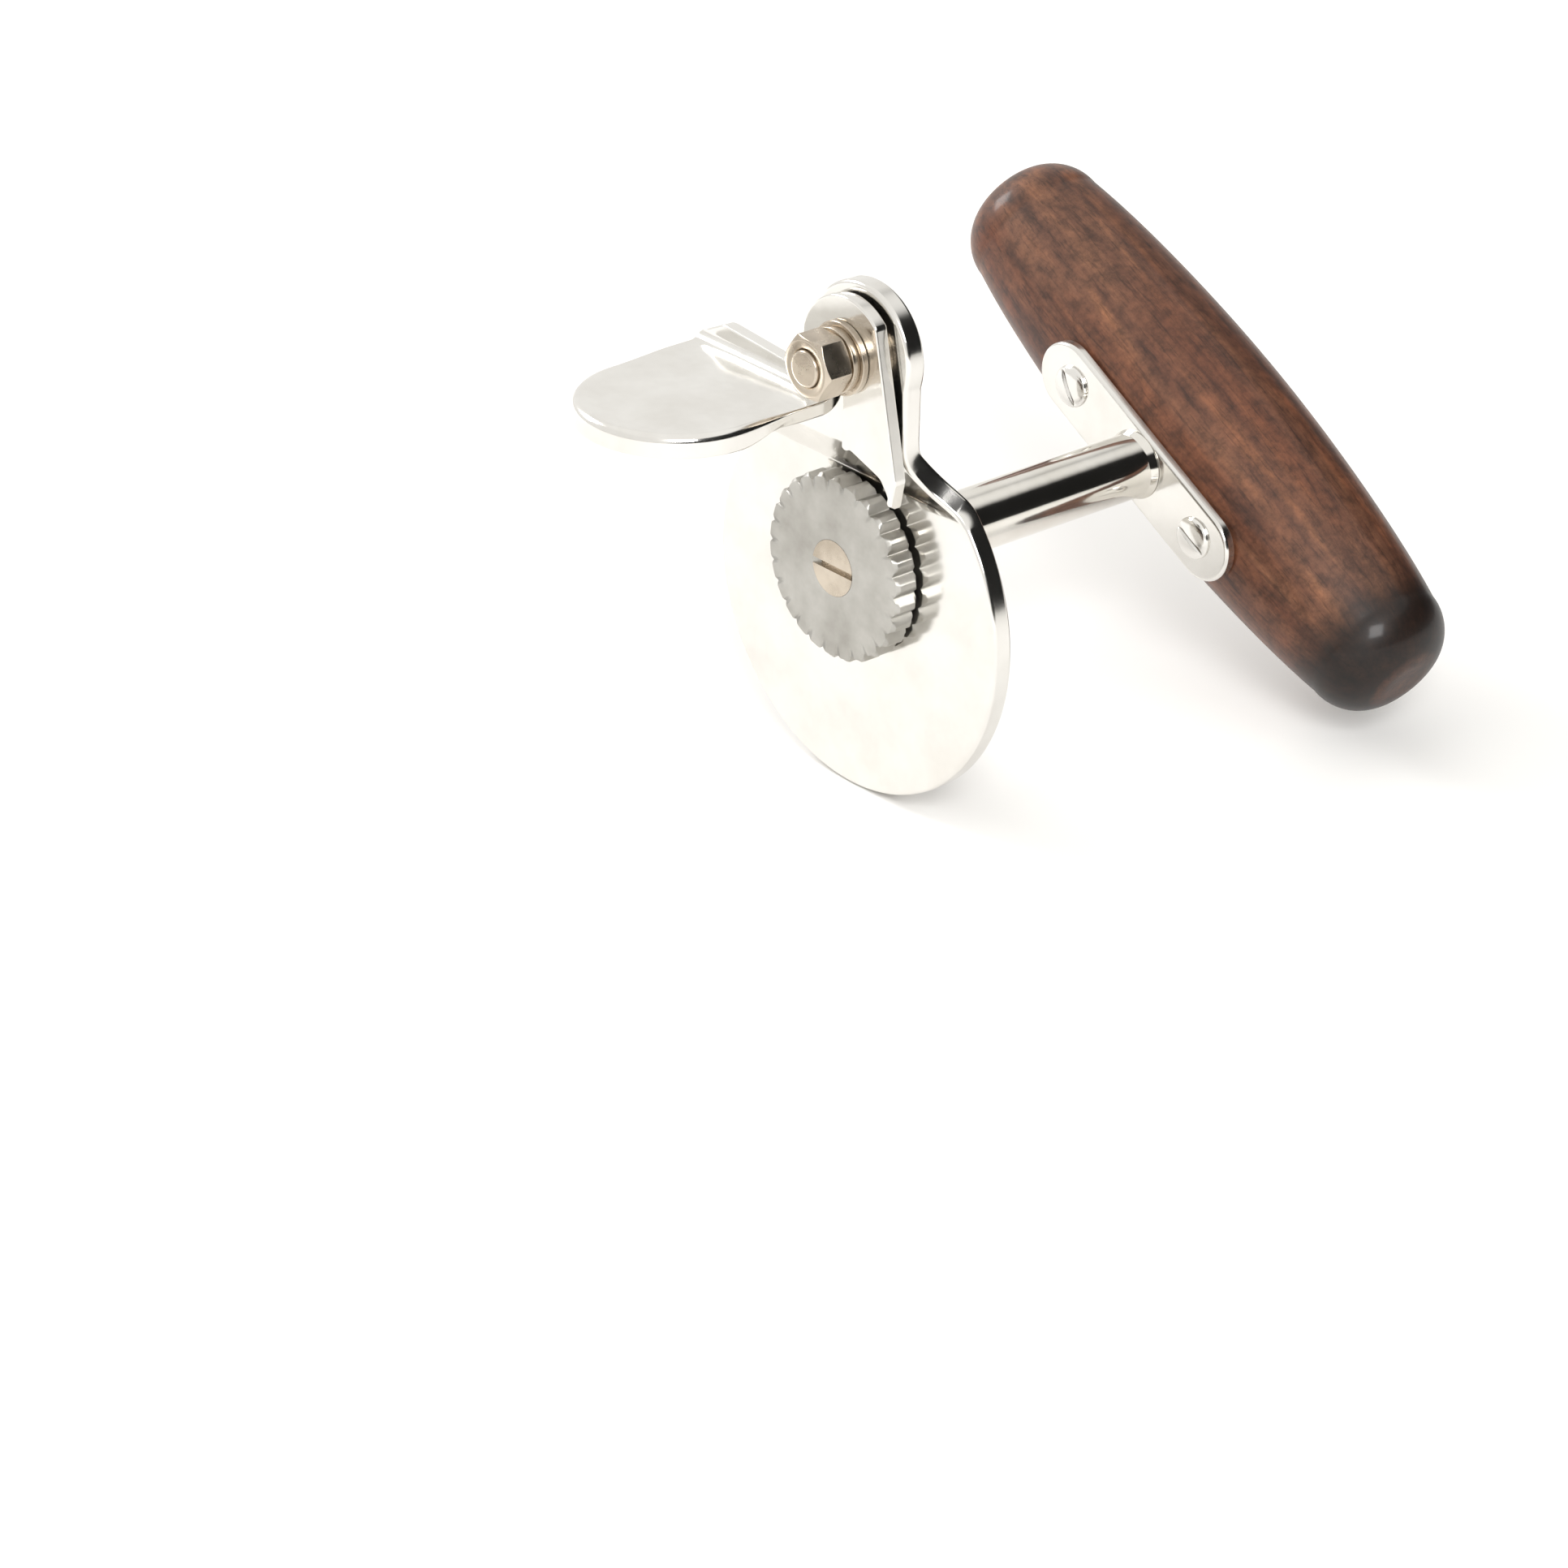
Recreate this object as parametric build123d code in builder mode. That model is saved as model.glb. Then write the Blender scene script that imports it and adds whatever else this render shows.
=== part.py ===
from build123d import *
import math
import os

# Hand-cranked can opener, in millimetres. The origin is the centre of the feed wheel,
# +Y runs along the drive shaft from the can towards the handle, and +Z is up.
# The can's rim would stand on the wheel, between the wheel's guard plate and the cutter.

# ---- driving dimensions -------------------------------------------------------------
running_gap = 0.05          # radial and axial clearance where one piece turns on another
fit_gap = 0.02              # clearance between two pieces that are fastened together

wheel_r = 13.0              # feed wheel, over the teeth
wheel_t = 3.6
wheel_teeth = 26
tooth_depth = 1.0

plate_t = 3.0               # frame plate
guard_r = 27.3              # round guard at the plate's foot
guard_drop = 5.6            # how far the guard's centre is below the shaft
guard_y = 2.4               # can side of the guard
arm_y = -2.6                # can side of the arm, set in towards the can
arm_half_w = 9.1
head_r = 9.5                # rounded head round the pivot
pivot_x = 4.8               # cutter pivot, measured from the shaft
pivot_z = 32.5
bend_low_z = 13.0           # the joggle between guard and arm
bend_high_z = 20.0
bend_r = 4.0
neck_r = 9.0

journal_r = 3.5             # shaft journal in the bush
shaft_r = 4.5
bush_r = 5.5                # bush, where it is pressed through the plate
bush_body_r = 6.5
bush_end_y = 13.4
thrust_t = 0.6
drive_square = 5.6          # squared end that drives the wheel

lever_t = 2.0               # cutter lever sheet
lever_head_r = 8.2
spacer_t = 0.55
tongue_left_x = -23.8
tongue_right_x = 2.9
tongue_top_z = 26.0
tongue_straight_y = -20.5   # where the straight sides meet the round end
sheet_bend_r = 1.5          # inside radius of the tongue's bend
wing_high_z = 29.3          # top of the upright wing, far from the pivot
wing_low_z = 28.2           # and beside it
blade_left_x = 4.8
lip_depth = 1.2             # turned-down rim round the tongue
lip_width = 1.8

bolt_r = 2.5                # M5 pivot bolt
nut_across_flats = 8.0
nut_t = 4.4
nut_turn = 27.0             # degrees, from +X to the middle of a flat
spring_washer_t = 1.1
flat_washer_t = 0.95

crank_turn = 29.4           # degrees, the handle's +X end turned down from level
bracket_y = 53.45           # can side of the handle bracket
bracket_t = 1.6
bracket_half_l = 21.0
bracket_half_w = 5.1
bracket_shift = -0.5        # the bracket's middle, along the handle from the shaft
screw_half_pitch = 14.35
handle_axis_y = 67.7
handle_shift = -1.15        # the barrel's middle, along the handle from the shaft
handle_half_l = 46.75
handle_mid_r = 13.28
handle_corner_r = 7.2       # rounding of the barrel's ends

lever_y = arm_y - spacer_t - running_gap - lever_t      # can side of the lever sheet
guard_out_y = guard_y + plate_t
arm_out_y = arm_y + plate_t
nut_y = lever_y - running_gap - flat_washer_t - spring_washer_t - nut_t
pivot = (pivot_x, pivot_z)


def facing_can(y):
    """Plane square to the shaft at station y; it extrudes towards the can."""
    return Plane.XZ.offset(-y)


turn = math.radians(crank_turn)
along_handle = (math.cos(turn), 0, -math.sin(turn))
across_handle = (math.sin(turn), 0, math.cos(turn))
handle_plane = Plane(origin=(0, handle_axis_y, 0), x_dir=along_handle, z_dir=across_handle)


def crank_plane(y):
    """The same plane turned with the crank: first axis along the handle."""
    return Plane(origin=(0, y, 0), x_dir=along_handle, z_dir=(0, -1, 0))


# ---- frame plate --------------------------------------------------------------------
# One 3 mm stamping: a round guard behind the wheel, joggled in towards the can to make
# the arm that carries the cutter. Its outline is cut from a strip bent to the joggle.

guard_mid_y = guard_y + plate_t / 2
arm_mid_y = arm_y + plate_t / 2
strip_low_z = -guard_drop - guard_r - 5
strip_high_z = pivot_z + head_r + 5


def neck_web(side):
    """Corner between the arm's straight side and the guard, rounded to neck_r."""
    edge_x = pivot_x + side * arm_half_w
    centre_x = edge_x + side * neck_r
    centre_z = -guard_drop + math.sqrt((guard_r + neck_r) ** 2 - centre_x**2)
    reach = guard_r / (guard_r + neck_r)
    touch = (centre_x * reach, -guard_drop + (centre_z + guard_drop) * reach)
    Polygon((edge_x, centre_z), (centre_x, centre_z), touch, (edge_x, touch[1]), align=None)
    with Locations((centre_x, centre_z)):
        Circle(neck_r, mode=Mode.SUBTRACT)


with BuildPart() as frame_plate:
    with BuildSketch(Plane.YZ):
        with BuildLine():
            FilletPolyline(
                (guard_mid_y, strip_low_z),
                (guard_mid_y, bend_low_z),
                (arm_mid_y, bend_high_z),
                (arm_mid_y, strip_high_z),
                radius=bend_r,
            )
        trace(line_width=plate_t)
    extrude(amount=2 * guard_r, both=True)
    with BuildSketch(Plane.XZ):
        with Locations((0, -guard_drop)):
            Circle(guard_r)
        with Locations((pivot_x, pivot_z / 2)):
            Rectangle(2 * arm_half_w, pivot_z)
        neck_web(-1)
        neck_web(1)
        with Locations(pivot):
            Circle(head_r)
    extrude(amount=2 * guard_r, both=True, mode=Mode.INTERSECT)
    with BuildSketch(Plane.XZ):
        Circle(bush_r + fit_gap)
        with Locations(pivot):
            Circle(bolt_r + fit_gap)
    extrude(amount=4 * plate_t, both=True, mode=Mode.SUBTRACT)
frame_plate.part.label = "frame_plate"

# ---- bush and drive shaft -----------------------------------------------------------
# A flanged bush pressed through the guard carries the shaft. The shaft has a journal
# in the bush, a square at the wheel and a full-diameter stem up to the handle bracket.

bush_flange_t = 1.4
bush_flange_r = 8.5

with BuildPart() as shaft_bush:
    with BuildSketch(facing_can(guard_out_y)):
        Circle(bush_r)
    extrude(amount=plate_t)
    with BuildSketch(facing_can(guard_out_y)):
        Circle(bush_flange_r)
    extrude(amount=-bush_flange_t)
    with BuildSketch(facing_can(guard_out_y)):
        Circle(bush_body_r)
    extrude(amount=guard_out_y - bush_end_y)
    with BuildSketch(facing_can(0)):
        Circle(journal_r + running_gap)
    extrude(amount=2 * bush_end_y, both=True, mode=Mode.SUBTRACT)
shaft_bush.part.label = "shaft_bush"

shoulder_y = bush_end_y + running_gap + thrust_t
bracket_hole_r = 3.0
tenon_end_y = bracket_y + bracket_t + 1.2
rivet_head_r = 4.2
weld_r = 5.0
weld_l = 1.0
square_front_y = 0.1        # can side of the squared end, behind the screw's head
screw_r = 1.75
screw_hole_depth = 9.0

with BuildPart() as drive_shaft:
    with BuildSketch(facing_can(shoulder_y)):
        Circle(shaft_r)
    extrude(amount=shoulder_y - bracket_y)
    with BuildSketch(facing_can(bracket_y)):
        Circle(weld_r)
    with BuildSketch(facing_can(bracket_y - weld_l)):
        Circle(shaft_r)
    loft()
    with BuildSketch(facing_can(wheel_t / 2)):
        Circle(journal_r)
    extrude(amount=wheel_t / 2 - shoulder_y)
    with BuildSketch(facing_can(square_front_y)):
        Rectangle(drive_square, drive_square)
    extrude(amount=square_front_y - wheel_t / 2)
    with BuildSketch(facing_can(bracket_y)):
        Circle(bracket_hole_r - fit_gap)
    extrude(amount=bracket_y - tenon_end_y)
    with BuildSketch(facing_can(bracket_y + bracket_t)):
        Circle(rivet_head_r)
    extrude(amount=bracket_y + bracket_t - tenon_end_y)
    with BuildSketch(facing_can(square_front_y)):
        Circle(screw_r + fit_gap)
    extrude(amount=-screw_hole_depth, mode=Mode.SUBTRACT)
drive_shaft.part.label = "drive_shaft"

with BuildPart() as thrust_washer:
    with BuildSketch(facing_can(bush_end_y + running_gap + thrust_t)):
        Circle(bush_body_r)
        Circle(journal_r + fit_gap, mode=Mode.SUBTRACT)
    extrude(amount=thrust_t)
thrust_washer.part.label = "thrust_washer"

# ---- feed wheel ---------------------------------------------------------------------
# Hardened wheel with sharp teeth that bite under the can's rim. It sits on the shaft's
# square and is held by a countersunk screw, flush with its face.

wheel_front_y = -wheel_t / 2
sink_r = 3.9
sink_depth = 1.9
notch_half_w = math.pi * (wheel_r - tooth_depth) / wheel_teeth * 0.8
wheel_bevel = 0.5
wheel_washer_t = 0.5

with BuildPart() as feed_wheel:
    with BuildSketch(facing_can(wheel_t / 2)):
        Circle(wheel_r)
    extrude(amount=wheel_t)
    chamfer(feed_wheel.edges(), length=wheel_bevel)
    with BuildSketch(facing_can(wheel_t / 2)):
        for tooth in range(wheel_teeth):
            with Locations(Rotation(0, 0, 360 * tooth / wheel_teeth)):
                Polygon(
                    (wheel_r - tooth_depth, 0),
                    (wheel_r + 0.2, notch_half_w),
                    (wheel_r + 0.2, -notch_half_w),
                    align=None,
                )
    extrude(amount=wheel_t, mode=Mode.SUBTRACT)
    with BuildSketch(facing_can(wheel_t / 2)):
        Rectangle(drive_square + 2 * fit_gap, drive_square + 2 * fit_gap)
    extrude(amount=wheel_t, mode=Mode.SUBTRACT)
    with BuildSketch(facing_can(wheel_front_y)):
        Circle(sink_r + fit_gap)
    with BuildSketch(facing_can(wheel_front_y + sink_depth)):
        Circle(screw_r + fit_gap)
    loft(mode=Mode.SUBTRACT)
feed_wheel.part.label = "feed_wheel"

with BuildPart() as wheel_screw:
    with BuildSketch(facing_can(wheel_front_y)):
        Circle(sink_r)
    with BuildSketch(facing_can(wheel_front_y + sink_depth)):
        Circle(screw_r)
    loft()
    with BuildSketch(facing_can(wheel_front_y + sink_depth)):
        Circle(screw_r)
    extrude(amount=-(screw_hole_depth - 1.5))
    with BuildSketch(facing_can(wheel_front_y)):
        Rectangle(2.2 * sink_r, 0.9)
    extrude(amount=-0.8, mode=Mode.SUBTRACT)
wheel_screw.part.label = "wheel_screw"

with BuildPart() as wheel_washer:
    with BuildSketch(facing_can(wheel_t / 2 + wheel_washer_t)):
        Circle(bush_flange_r)
        Circle(journal_r + fit_gap, mode=Mode.SUBTRACT)
    extrude(amount=wheel_washer_t)
wheel_washer.part.label = "wheel_washer"

# ---- cutter lever -------------------------------------------------------------------
# One 2 mm sheet: a round head on the pivot, a blade hanging from it with its point at
# the lower right, and a wing at the left that is bent over into a level thumb tongue.

lever_mid_y = lever_y + lever_t / 2
tongue_mid_z = tongue_top_z - lever_t / 2
tongue_low_z = tongue_top_z - lever_t
tongue_half_w = (tongue_right_x - tongue_left_x) / 2
tongue_end_y = tongue_straight_y - tongue_half_w
bend_line_z = tongue_top_z + sheet_bend_r
near_corner = (10.9, 37.4)  # the head's right side is cut straight down to the blade
cut_top = (10.2, 40.45)     # further up the same line, outside the head
blade_shoulder = (15.3, 18.2)
blade_point = (14.3, 13.4)
blade_knee = (11.7, 17.0)
blade_heel = (blade_left_x, 19.3)
blade_bevel = 1.3
wing_ramp_x = tongue_left_x + 5.0
lip_fade_y = -9.0           # the turned-down lip has died out by this station


def tongue_outline(half_w):
    """Tongue in plan: parallel sides and a half-round end."""
    with Locations(((tongue_left_x + tongue_right_x) / 2, tongue_straight_y)):
        Circle(half_w)
        Rectangle(2 * half_w, -tongue_straight_y, align=(Align.CENTER, Align.MIN))


with BuildPart() as cutter_lever:
    with BuildSketch(Plane.YZ.offset(tongue_left_x)):
        with BuildLine():
            FilletPolyline(
                (lever_mid_y, wing_high_z + 2),
                (lever_mid_y, tongue_mid_z),
                (tongue_end_y - 2, tongue_mid_z),
                radius=sheet_bend_r + lever_t / 2,
            )
        trace(line_width=lever_t)
    extrude(amount=2 * tongue_half_w)
    with BuildSketch(Plane.XZ):
        Polygon(
            (tongue_left_x, tongue_low_z - 1),
            (tongue_left_x, tongue_top_z + 0.8),
            (wing_ramp_x, wing_high_z),
            (-4.8, wing_low_z),
            (tongue_right_x, wing_low_z),
            (tongue_right_x, tongue_low_z - 1),
            align=None,
        )
    extrude(amount=-2 * tongue_end_y, both=True, mode=Mode.INTERSECT)
    with BuildSketch(Plane.XY.offset(tongue_low_z)):
        tongue_outline(tongue_half_w)
    extrude(amount=lever_head_r, mode=Mode.INTERSECT)
    with BuildSketch(Plane.XY.offset(tongue_low_z)):
        with Locations(((tongue_left_x + tongue_right_x) / 2, tongue_straight_y)):
            Circle(tongue_half_w)
            Circle(tongue_half_w - lip_width, mode=Mode.SUBTRACT)
            with Locations((0, 0)):
                Rectangle(
                    2 * tongue_half_w,
                    tongue_half_w,
                    align=(Align.CENTER, Align.MIN),
                    mode=Mode.SUBTRACT,
                )
    extrude(amount=-lip_depth)
    lip_fade = (
        (lip_fade_y, tongue_low_z),
        (tongue_straight_y, tongue_low_z),
        (tongue_straight_y, tongue_low_z - lip_depth),
    )
    for side_x in (tongue_left_x, tongue_right_x - lip_width):
        with BuildSketch(Plane.YZ.offset(side_x)):
            Polygon(*lip_fade, align=None)
        extrude(amount=lip_width)
    with BuildSketch(facing_can(lever_y + lever_t)):
        with Locations(pivot):
            Circle(lever_head_r)
        Polygon(
            cut_top,
            (blade_shoulder[0] + 4, cut_top[1]),
            (blade_shoulder[0] + 4, blade_shoulder[1]),
            blade_shoulder,
            align=None,
            mode=Mode.SUBTRACT,
        )
        with Locations((blade_left_x, bend_line_z)):
            Rectangle(
                lever_head_r,
                lever_head_r,
                align=(Align.MAX, Align.MAX),
                mode=Mode.SUBTRACT,
            )
        Polygon(
            pivot,
            near_corner,
            blade_shoulder,
            blade_point,
            blade_knee,
            blade_heel,
            align=None,
        )
    extrude(amount=lever_t)
    cutting_edges = (
        cutter_lever.edges()
        .filter_by_position(Axis.Y, lever_y - 0.01, lever_y + 0.01)
        .filter_by_position(Axis.Z, blade_point[1] - 0.1, blade_heel[1] + 0.1)
        .filter_by(lambda edge: edge.center().X < blade_point[0])
    )
    chamfer(cutting_edges, length=blade_bevel)
    with BuildSketch(facing_can(0)):
        with Locations(pivot):
            Circle(bolt_r + running_gap)
    extrude(amount=4 * lever_t, both=True, mode=Mode.SUBTRACT)
cutter_lever.part.label = "cutter_lever"

# ---- pivot bolt and its stack -------------------------------------------------------
# A domed bolt comes through the arm from the handle side. In front of the arm it carries
# a thin spacer, the lever, a plain washer, a split spring washer and a hexagon nut.

bolt_head_r = 5.0
bolt_head_h = 2.2
bolt_end_y = nut_y - 0.4
washer_hole_r = bolt_r + 0.1
spring_washer_r = 4.4
flat_washer_r = 5.0
spacer_r = 6.0
nut_corner_r = nut_across_flats / math.sqrt(3)
nut_chamfer = 0.5


def washer(back_y, thickness, outer_r):
    """Flat ring on the pivot bolt, from back_y towards the can."""
    with BuildPart() as ring:
        with BuildSketch(facing_can(back_y)):
            with Locations(pivot):
                Circle(outer_r)
                Circle(washer_hole_r, mode=Mode.SUBTRACT)
        extrude(amount=thickness)
    return ring.part


with BuildPart() as pivot_bolt:
    with BuildSketch(facing_can(arm_out_y)):
        with Locations(pivot):
            Circle(bolt_r)
    extrude(amount=arm_out_y - bolt_end_y)
    chamfer(pivot_bolt.faces().sort_by(Axis.Y)[0].edges(), length=0.4)
    with BuildSketch(facing_can(arm_out_y)):
        with Locations(pivot):
            Circle(bolt_head_r)
    extrude(amount=-bolt_head_h)
    fillet(pivot_bolt.faces().sort_by(Axis.Y)[-1].edges(), radius=bolt_head_h * 0.9)
pivot_bolt.part.label = "pivot_bolt"

with BuildPart() as pivot_nut:
    with BuildSketch(facing_can(nut_y + nut_t)):
        with Locations(pivot):
            Circle(nut_corner_r)
    extrude(amount=nut_t)
    chamfer(pivot_nut.edges().filter_by(GeomType.CIRCLE), length=nut_chamfer)
    with BuildSketch(facing_can(nut_y + nut_t)):
        with Locations(pivot):
            RegularPolygon(nut_corner_r, 6, rotation=nut_turn - 30)
            Circle(bolt_r + fit_gap, mode=Mode.SUBTRACT)
    extrude(amount=nut_t, mode=Mode.INTERSECT)
pivot_nut.part.label = "pivot_nut"

with BuildPart() as spring_washer:
    add(washer(nut_y + nut_t + spring_washer_t, spring_washer_t, spring_washer_r))
    with BuildSketch(facing_can(nut_y + nut_t + spring_washer_t)):
        with Locations(pivot):
            Rectangle(spring_washer_r + 1, 0.5, align=(Align.MAX, Align.CENTER), rotation=-20)
    extrude(amount=spring_washer_t, mode=Mode.SUBTRACT)
spring_washer.part.label = "spring_washer"

with BuildPart() as flat_washer:
    add(washer(lever_y - running_gap, flat_washer_t, flat_washer_r))
flat_washer.part.label = "flat_washer"

with BuildPart() as pivot_spacer:
    add(washer(arm_y, spacer_t, spacer_r))
pivot_spacer.part.label = "pivot_spacer"

# ---- handle -------------------------------------------------------------------------
# A flat plate with round ends is riveted and welded to the shaft's end and screwed into
# a pocket along one side of a turned wooden barrel.

pocket_gap = 0.1
dome_h = 1.0
dome_r = 3.0
wood_screw_r = 1.6
wood_screw_l = 10.0
screw_spots = ((bracket_shift + screw_half_pitch, 0), (bracket_shift - screw_half_pitch, 0))
screw_turns = (0, -31)      # degrees, each slot from the handle's direction

with BuildPart() as handle_bracket:
    with BuildSketch(crank_plane(bracket_y)):
        with Locations((bracket_shift, 0)):
            SlotOverall(2 * bracket_half_l, 2 * bracket_half_w)
        Circle(bracket_hole_r, mode=Mode.SUBTRACT)
        with Locations(*screw_spots):
            Circle(wood_screw_r + fit_gap, mode=Mode.SUBTRACT)
    extrude(amount=-bracket_t)
handle_bracket.part.label = "handle_bracket"

with BuildPart() as bracket_screws:
    with BuildSketch(crank_plane(bracket_y)):
        with Locations(*screw_spots):
            Circle(wood_screw_r)
    extrude(amount=-wood_screw_l)
    with BuildSketch(crank_plane(bracket_y)):
        with Locations(*screw_spots):
            Circle(dome_r)
    extrude(amount=dome_h)
    fillet(bracket_screws.faces().sort_by(Axis.Y)[:2].edges(), radius=dome_h * 0.9)
    with BuildSketch(crank_plane(bracket_y - dome_h)):
        for spot, slot_turn in zip(screw_spots, screw_turns):
            with Locations(spot):
                Rectangle(2.2 * dome_r, 0.7, rotation=slot_turn)
    extrude(amount=-0.5, mode=Mode.SUBTRACT)
bracket_screws.part.label = "bracket_screws"

corner_u = handle_half_l - handle_corner_r
corner_top_r = 10.3
end_disc_r = corner_top_r - handle_corner_r
corner_bulge = handle_corner_r / math.sqrt(2)
barrel_half = ((corner_u, corner_top_r), (34, 11.2), (28, 11.85), (20, 12.58), (10, 13.1))

with BuildPart() as wooden_handle:
    with BuildSketch(handle_plane):
        with BuildLine(Location((handle_shift, 0))):
            Line((-handle_half_l, 0), (-handle_half_l, end_disc_r))
            ThreePointArc(
                (-handle_half_l, end_disc_r),
                (-corner_u - corner_bulge, end_disc_r + corner_bulge),
                (-corner_u, corner_top_r),
            )
            Spline(
                *[(-u, r) for u, r in barrel_half],
                (0, handle_mid_r),
                *[(u, r) for u, r in reversed(barrel_half)],
            )
            ThreePointArc(
                (corner_u, corner_top_r),
                (corner_u + corner_bulge, end_disc_r + corner_bulge),
                (handle_half_l, end_disc_r),
            )
            Line((handle_half_l, end_disc_r), (handle_half_l, 0))
            Line((handle_half_l, 0), (-handle_half_l, 0))
        make_face()
    revolve(axis=Axis(handle_plane.origin, handle_plane.x_dir))
    with BuildSketch(crank_plane(bracket_y + bracket_t)):
        with Locations((bracket_shift, 0)):
            SlotOverall(2 * (bracket_half_l + pocket_gap), 2 * (bracket_half_w + pocket_gap))
    extrude(amount=3 * bracket_t, mode=Mode.SUBTRACT)
    with BuildSketch(crank_plane(bracket_y + bracket_t)):
        Circle(rivet_head_r + pocket_gap)
    extrude(amount=-(tenon_end_y - bracket_y - bracket_t + pocket_gap), mode=Mode.SUBTRACT)
    with BuildSketch(crank_plane(bracket_y + bracket_t)):
        with Locations(*screw_spots):
            Circle(wood_screw_r + fit_gap)
    extrude(amount=-wood_screw_l, mode=Mode.SUBTRACT)
wooden_handle.part.label = "wooden_handle"

# ---- one file for each piece --------------------------------------------------------

os.makedirs("parts", exist_ok=True)
pieces = (
    frame_plate,
    shaft_bush,
    drive_shaft,
    thrust_washer,
    feed_wheel,
    wheel_screw,
    wheel_washer,
    cutter_lever,
    pivot_bolt,
    pivot_nut,
    spring_washer,
    flat_washer,
    pivot_spacer,
    handle_bracket,
    bracket_screws,
    wooden_handle,
)
for piece in pieces:
    export_step(piece.part, f"parts/{piece.part.label}.step")
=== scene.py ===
import math

import bpy
import numpy as np
from mathutils import Matrix, Vector
from mathutils.geometry import delaunay_2d_cdt


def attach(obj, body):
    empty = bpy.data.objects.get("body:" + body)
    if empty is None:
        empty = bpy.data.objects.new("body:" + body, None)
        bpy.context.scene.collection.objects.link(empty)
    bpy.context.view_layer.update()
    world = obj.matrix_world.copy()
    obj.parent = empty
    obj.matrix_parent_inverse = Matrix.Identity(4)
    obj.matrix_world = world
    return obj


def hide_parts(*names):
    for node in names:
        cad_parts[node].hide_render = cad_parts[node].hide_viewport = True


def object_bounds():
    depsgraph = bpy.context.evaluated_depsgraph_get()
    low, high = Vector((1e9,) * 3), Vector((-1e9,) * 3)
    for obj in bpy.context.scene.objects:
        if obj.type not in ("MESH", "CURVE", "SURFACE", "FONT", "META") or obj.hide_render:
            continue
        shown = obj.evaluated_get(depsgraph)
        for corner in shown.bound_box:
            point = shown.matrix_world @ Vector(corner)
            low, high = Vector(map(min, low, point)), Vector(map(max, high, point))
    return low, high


# A hand-cranked can opener. Lengths are in millimetres until a mesh is made, then metres.
# The origin is the middle of the feed wheel, +Y runs along the shaft to the handle, +Z is up.
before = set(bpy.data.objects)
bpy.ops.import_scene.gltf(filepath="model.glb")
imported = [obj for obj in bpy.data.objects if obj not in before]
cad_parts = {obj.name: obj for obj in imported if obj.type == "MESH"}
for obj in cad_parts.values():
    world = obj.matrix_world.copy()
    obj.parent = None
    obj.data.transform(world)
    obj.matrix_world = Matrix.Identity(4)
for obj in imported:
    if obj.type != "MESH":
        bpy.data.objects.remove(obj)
cad_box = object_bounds()

# ---- frame plate ----------------------------------------------------------------------
# One stamping of 3 mm mild steel: a round guard behind the wheel, joggled in towards the can
# to make the arm. It is tumbled, which rounds its edges, then polished and nickel plated.


def linear(code):
    """Linear RGBA of an sRGB hex colour."""
    share = np.array([int(code[i : i + 2], 16) for i in (0, 2, 4)]) / 255
    return (*np.where(share <= 0.04045, share / 12.92, ((share + 0.055) / 1.055) ** 2.4), 1.0)


def add_node(tree, kind, inputs=None, **settings):
    """One shader node. An input given as another node's output is linked, and any other is set."""
    made = tree.nodes.new("ShaderNode" + kind)
    for name, value in settings.items():
        setattr(made, name, value)
    for name, value in (inputs or {}).items():
        if isinstance(value, bpy.types.NodeSocket):
            tree.links.new(value, made.inputs[name])
        else:
            made.inputs[name].default_value = value
    return made


def rounded(corners, closed=False, steps=6):
    """Points and outward normals of a line through corners (a, b, radius), with tangent arcs.

    The arc's centre lies on the corner's bisector at radius / sin(half angle). Outward is to the
    right of the way the line runs.
    """
    corners = np.array(corners, float)
    place, radius = corners[:, :2], np.maximum(corners[:, 2], 1e-4)
    back, ahead = np.roll(place, 1, 0) - place, np.roll(place, -1, 0) - place
    back /= np.maximum(np.linalg.norm(back, axis=1), 1e-9)[:, None]
    ahead /= np.maximum(np.linalg.norm(ahead, axis=1), 1e-9)[:, None]
    half = np.arccos(np.clip((back * ahead).sum(1), -0.99999, 0.99999)) / 2
    reach = radius / np.tan(half)
    middle = (back + ahead) / np.maximum(np.linalg.norm(back + ahead, axis=1), 1e-9)[:, None]
    centre = place + middle * (radius / np.sin(half))[:, None]
    first = (place + back * reach[:, None] - centre) / radius[:, None]
    last = (place + ahead * reach[:, None] - centre) / radius[:, None]
    swing = np.pi - 2 * half
    share = np.linspace(0, 1, steps)[None, :, None]
    bend = swing[:, None, None]
    spoke = np.sin((1 - share) * bend) * first[:, None] + np.sin(share * bend) * last[:, None]
    spoke = spoke / np.sin(bend)
    outward = np.sign((first * np.stack([-back[:, 1], back[:, 0]], 1)).sum(1))
    points = centre[:, None] + spoke * radius[:, None, None]
    normals = spoke * outward[:, None, None]
    if closed:
        return points.reshape(-1, 2), normals.reshape(-1, 2)
    run_in, run_out = -back[1], -back[-1]
    points = np.vstack([place[:1], points[1:-1].reshape(-1, 2), place[-1:]])
    ends = np.array([[run_in[1], -run_in[0]], [run_out[1], -run_out[0]]])
    return points, np.vstack([ends[:1], normals[1:-1].reshape(-1, 2), ends[1:]])


def arc(centre, radius, start, end, step=0.35):
    """Points round a circle from one angle to another, in degrees, at about one step apart."""
    count = max(3, int(abs(math.radians(end - start)) * radius / step))
    angle = np.radians(np.linspace(start, end, count))
    return np.array(centre) + radius * np.stack([np.cos(angle), np.sin(angle)], 1)


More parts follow.
